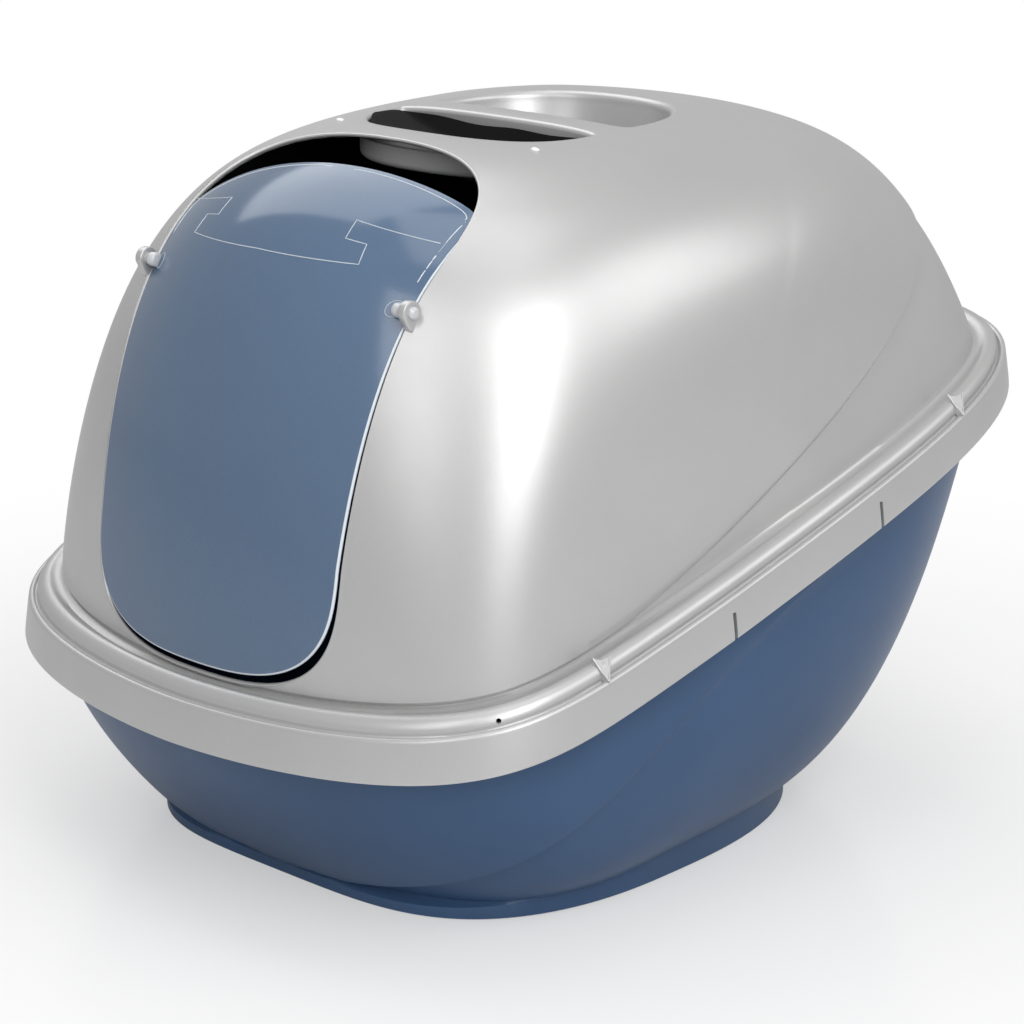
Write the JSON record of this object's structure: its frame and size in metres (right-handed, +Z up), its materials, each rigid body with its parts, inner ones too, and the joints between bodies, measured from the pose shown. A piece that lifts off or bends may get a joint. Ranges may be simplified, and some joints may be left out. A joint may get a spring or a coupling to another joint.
{
  "type": "hooded litter box",
  "caption": "Hooded front-entry cat litter box: tilted-rim pan, lift-off hood with a carry bar, see-through swinging flap and a carbon filter tray.",
  "frame": {"origin": "on the floor, below the middle of the rim's length and width", "axes": "+Z up, -Y toward the front with the flap, +X toward the box's left-hand side seen from inside (the right of the picture)"},
  "size_m": [0.4616, 0.5309, 0.4161],
  "materials": {
    "pan_blue": "satin moulded polypropylene",
    "hood_silver": "satin pearl-grey moulded polypropylene",
    "flap_smoke": "smoked see-through plastic",
    "pin_clear": "clear plastic",
    "tray_grey": "grey moulded plastic",
    "filter_black": "black carbon felt"
  },
  "bodies": {
    "pan": {"litter_pan": "pan_blue"},
    "hood": {"hood": "hood_silver", "hinge_pin_left": "pin_clear", "hinge_pin_right": "pin_clear"},
    "flap": {"flap_door": "flap_smoke"},
    "filter": {"filter_tray": "tray_grey", "carbon_filter": "filter_black"}
  },
  "joints": [
    {"name": "hood_lift", "type": "slide", "parent": "pan", "child": "hood", "axis": [0, 0, 1], "range_m": [0, 0.15]},
    {"name": "flap_swing", "type": "hinge", "parent": "hood", "child": "flap", "pos_m": [0, -0.18037, 0.3435], "axis": [1, 0, 0], "range_deg": [-60, 60]},
    {"name": "filter_drop", "type": "slide", "parent": "hood", "child": "filter", "axis": [0, 0, -1], "range_m": [0, 0.08]}
  ]
}
